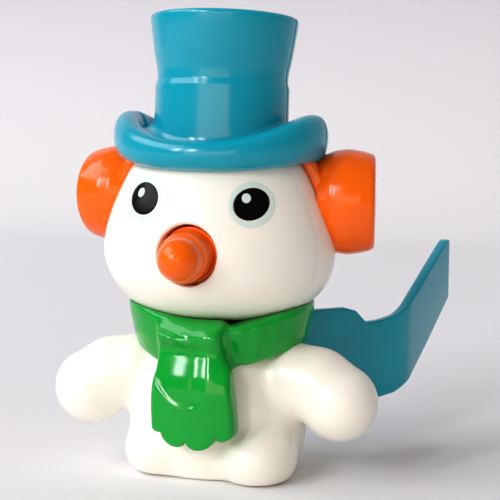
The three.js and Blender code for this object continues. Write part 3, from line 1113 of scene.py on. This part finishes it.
# -------------------- lever
@dataclass(frozen=True)
class Lever:
    """Bent blade behind the figure that swings about an upright pin in the body's back."""

    pivot: Pair = (0.0, 6.0)
    thickness: float = 2.0
    root_angle: float = 33.7
    tip_angle: float = 76.5
    bend_at: float = 32.4
    bend_length: float = 5.0
    hub: float = 2.8
    corner: float = 0.45
    edges: tuple[Triple, ...] = (
        (0, 9.4, 17.4), (11.6, 9.4, 17.4), (14.2, 9, 24), (15.8, 8.7, 25.1), (21.2, 8.5, 25.3),
        (23.4, 8.5, 24.7), (25.4, 8.5, 22.6), (28.1, 8.9, 22.9), (30.9, 9.6, 23.7), (34.2, 11.3, 25.4),
        (44.3, 17.6, 30.9), (53.9, 23.9, 36.0), (55.35, 24.8, 36.35),
    )  # fmt: skip
    pin_radius: float = 1.3

    def line(self, distance: Array) -> tuple[Array, Array]:
        """Middle line seen from above, and its direction.

        The direction turns evenly from the root's angle to the tip's over the bend. The place is its running
        sum.

        Args:
            distance: evenly spaced distances from the pivot.

        Returns:
            Points of shape (n, 2) and angles of shape (n,).
        """
        start = self.bend_at - self.bend_length / 2
        share = np.clip((distance - start) / self.bend_length, 0, 1)
        angle = np.radians(self.root_angle + share * (self.tip_angle - self.root_angle))
        step = np.diff(distance, prepend=distance[0])
        middle = (angle + np.roll(angle, 1)) / 2
        middle[0] = angle[0]
        place = np.cumsum(np.stack([np.cos(middle), np.sin(middle)], axis=1) * step[:, None], axis=0)
        return place + np.array(self.pivot), angle

    def blade(self) -> bpy.types.Object:
        """Rounded rectangle carried along the middle line, between a lower and an upper edge."""
        at, lower, upper = (np.array(column) for column in zip(*self.edges))
        distance = np.linspace(0, at[-1], 220)
        place, angle = self.line(distance)
        low = np.interp(distance, at, lower)
        high = np.interp(distance, at, upper)
        turn = np.linspace(0, 2 * math.pi, 48, endpoint=False)
        quarter = np.sign(np.cos(turn)), np.sign(np.sin(turn))
        ends = np.clip(np.minimum(distance, distance[-1] - distance) / self.corner, 0, 1)
        shrink = self.corner * (1 - np.sqrt(1 - (1 - ends) ** 2))
        half = self.thickness / 2 - shrink
        across = quarter[0] * np.maximum(half - self.corner, 0)[:, None] + self.corner * np.cos(turn)
        tall = (high - low) / 2 - shrink
        up = quarter[1] * (tall - self.corner)[:, None] + self.corner * np.sin(turn)
        middle = ((low + high) / 2)[:, None]
        side = np.stack([-np.sin(angle), np.cos(angle)], axis=1)
        points = np.stack(
            [place[:, :1] + side[:, :1] * across, place[:, 1:] + side[:, 1:] * across, middle + up], axis=-1
        )
        caps = [np.broadcast_to(row.mean(axis=0), row.shape)[None] for row in (points[0], points[-1])]
        return grid_mesh("lever_blade", np.concatenate([caps[0], points, caps[1]]))

    def build(self, dresser: Dresser) -> None:
        """Makes the blade, its hub and the pin."""
        dresser.finish(self.blade(), Slot.TEAL, ["lever"], LEVER_ARM)
        low, high = self.edges[0][1:]
        place = Matrix.Translation((*self.pivot, 0))
        sleeve = filleted([(self.pin_radius + 0.15, low, 0), (self.hub, low, 0.4), (self.hub, high, 0.4),
                           (self.pin_radius + 0.15, high, 0), (self.pin_radius + 0.15, low, 0)])  # fmt: skip
        dresser.finish(turned("lever_hub", sleeve, place), Slot.TEAL, [], LEVER_ARM)
        box = Box.of("lever_pin")
        foot, head, wide = box.low[2], box.high[2], self.pin_radius
        pin = filleted([(0, foot, 0), (wide, foot, 0.2), (wide, head, 0.2), (0, head, 0)])
        dresser.finish(turned("lever_pin_turned", pin, place), Slot.STEEL, ["lever_pin"])


# -------------------- screws
@dataclass(frozen=True)
class Screw:
    """Small cross-recess screw in the back."""

    node: str
    cell: float = 0.09

    def build(self, dresser: Dresser) -> None:
        """Makes the domed head with its cross recess from the CAD node's box."""
        box = Box.of(self.node)
        middle_x, middle_z = box.middle[0], box.middle[2]
        radius = box.size[0] / 2
        face = box.high[1]

        def field(x: Array, y: Array, z: Array) -> Array:
            """Domed head with two crossed slots."""
            across = np.hypot(x - middle_x, z - middle_z)
            dome = across**2 / 14
            head = np.maximum(across - radius, np.maximum(y - face + dome, face - 1.2 - y))
            slot = np.minimum(np.abs(x - middle_x), np.abs(z - middle_z)) - 0.25
            recess = np.maximum(np.maximum(slot, across - radius * 0.62), face - 0.9 + across * 0.3 - y)
            return cut(head, recess, 0.12)

        low = (middle_x - radius, face - 1.4, middle_z - radius)
        high = (middle_x + radius, face, middle_z + radius)
        dresser.finish(skin(f"{self.node}_head", field, low, high, self.cell), Slot.STEEL, [self.node])


# -------------------- studio
@dataclass(frozen=True)
class Studio:
    """Pale sweep, soft lights and the camera."""

    azimuth: float = 17.0
    distance: float = 191.0
    height: float = 49.0
    yaw: float = 1.52
    pitch: float = 3.85
    roll: float = 0.6
    lens: float = 82.8
    paper: tuple[str, str] = ("EDECEC", "CCCBCF")  # underfoot, and up the wall, where the greyer colour is painted shade
    painted_shade_height: float = 220.0  # height at which the painted shade up the wall is full
    floor: Pair = (-4000.0, 600.0)  # nearest and farthest y of the flat stretch
    bend: float = 250.0
    tall: float = 1500.0
    half: float = 4000.0
    lamps: tuple[tuple, ...] = (  # name, degrees left and up, distance, size, watts, colour
        ("window_left_pane", 33.0, 25.0, 2700, (300, 900), 15.0, "F8F9FF"),
        ("window_right_pane", 17.0, 25.0, 2700, (300, 900), 15.0, "F8F9FF"),
        ("sky_card", 66.0, 42.0, 2800, (2200, 1600), 38.5, "F4F6FF"),
        ("warm_room", -2.0, 4.0, 3000, (3000, 1400), 24.0, "FFE3C4"),
    )
    room: tuple[str, float] = ("E6E2DE", 0.28)

    def camera(self) -> None:
        """Camera at the figure's front, turned a little to its right-hand side."""
        data = bpy.data.cameras.new("camera")
        data.lens = self.lens
        data.sensor_width = 36.0
        data.clip_start, data.clip_end = 0.01, 20.0
        camera = bpy.data.objects.new("camera", data)
        bpy.context.scene.collection.objects.link(camera)
        angle = math.radians(self.azimuth)
        camera.location = Vector(
            (self.distance * math.sin(angle), -self.distance * math.cos(angle), self.height)
        ) * MM
        turn = (
            Matrix.Rotation(angle - math.radians(self.yaw), 4, "Z")
            @ Matrix.Rotation(math.radians(90 - self.pitch), 4, "X")
            @ Matrix.Rotation(math.radians(self.roll), 4, "Z")
        )
        camera.rotation_euler = turn.to_euler()
        bpy.context.scene.camera = camera

    def sweep(self) -> None:
        """Floor that curves up into a backdrop: a flat stretch, a quarter circle and a wall, with painted
        shade that greys the paper up the wall.
        """
        near, far = self.floor
        turn = np.linspace(0, math.pi / 2, 24)
        arc = np.stack([far + self.bend * np.sin(turn), self.bend - self.bend * np.cos(turn)], axis=1)
        outline = np.vstack([[[near, 0.0], [far, 0.0]], arc[1:], [[far + self.bend, self.tall]]])
        points = np.array([(x, y, z) for y, z in outline for x in (-self.half, self.half)])
        row = 2 * np.arange(len(outline) - 1)
        faces = np.stack([row, row + 1, row + 3, row + 2], axis=1)
        floor = make_mesh("sweep", points, faces)
        # Painted shade: the paper is made greyer up the wall than underfoot, standing in for the light that
        # falls off there.
        material = bpy.data.materials.new("matt paper sweep with painted shade up the wall")
        material.use_nodes = True
        tree = material.node_tree
        shader = tree.nodes["Principled BSDF"]
        spot = add_node(tree, "ShaderNodeTexCoord").outputs["Object"]
        place = add_node(tree, "ShaderNodeSeparateXYZ", {0: spot})
        share = add_node(
            tree,
            "ShaderNodeMapRange",
            {"Value": place.outputs["Z"], "From Min": 0.0, "From Max": self.painted_shade_height * MM},
        )
        # Painted shade: the two paper colours mixed by height, greyer up the wall.
        paper = add_node(
            tree,
            "ShaderNodeMix",
            {0: share.outputs["Result"], 6: linear(self.paper[0]), 7: linear(self.paper[1])},
            data_type="RGBA",
        )
        tree.links.new(paper.outputs[2], shader.inputs["Base Color"])
        shader.inputs["Roughness"].default_value = 0.7
        floor.data.materials.append(material)

    def light(
        self, name: str, to_left: float, above: float, far: float, size: Pair, watts: float, code: str
    ) -> None:
        """Soft rectangular lamp that looks at the figure.

        Args:
            name: object name.
            to_left: degrees round from straight in front of the figure, to the viewer's left.
            above: degrees above the figure's middle.
            far: distance in millimetres.
            size: width and height in millimetres.
            watts: power.
            code: sRGB hex colour.
        """
        data = bpy.data.lights.new(name, "AREA")
        data.shape = "RECTANGLE"
        data.size, data.size_y = size[0] * MM, size[1] * MM
        data.energy = watts
        data.color = linear(code)[:3]
        lamp = bpy.data.objects.new(name, data)
        bpy.context.scene.collection.objects.link(lamp)
        turn, lift = math.radians(to_left), math.radians(above)
        middle = Vector((0, 0, 35))
        way = Vector((-math.sin(turn) * math.cos(lift), -math.cos(turn) * math.cos(lift), math.sin(lift)))
        lamp.location = (middle + way * far) * MM
        lamp.rotation_euler = way.to_track_quat("Z", "Y").to_euler()

    def build(self) -> None:
        """Makes everything that isn't the object."""
        self.camera()
        self.sweep()
        for lamp in self.lamps:
            self.light(*lamp)
        world = bpy.data.worlds.new("soft room")
        world.use_nodes = True
        backdrop = world.node_tree.nodes["Background"]
        backdrop.inputs["Color"].default_value = linear(self.room[0])
        backdrop.inputs["Strength"].default_value = self.room[1]
        bpy.context.scene.world = world
        view = bpy.context.scene.view_settings
        view.view_transform = "Standard"
        view.look = "Medium High Contrast"


# -------------------- main
def clear_scene() -> None:
    """Empties the start-up scene."""
    for thing in list(bpy.data.objects):
        bpy.data.objects.remove(thing)


def corners(bounds: tuple) -> list[list[float]]:
    """Two corners as plain lists of numbers."""
    return [[float(value) for value in corner] for corner in bounds]


def main() -> None:
    """Builds the toy round the frame, then the studio."""
    logging.basicConfig(level=logging.INFO, format="%(name)s: %(message)s")
    clear_scene()
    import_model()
    Studio().build()
    dresser = Dresser()
    head = Head()
    form = head.form()
    head.build(dresser)
    for side in (-1, 1):
        Eye(side).build(form, dresser)
    Nose().build(dresser)
    EarMuffs().build(form, dresser)
    Hat().build(dresser)
    Body().build(dresser)
    Scarf().build(form, dresser)
    Lever().build(dresser)
    for node in ("back_screw_1", "back_screw_2"):
        Screw(node).build(dresser)


if __name__ == "__main__":
    main()
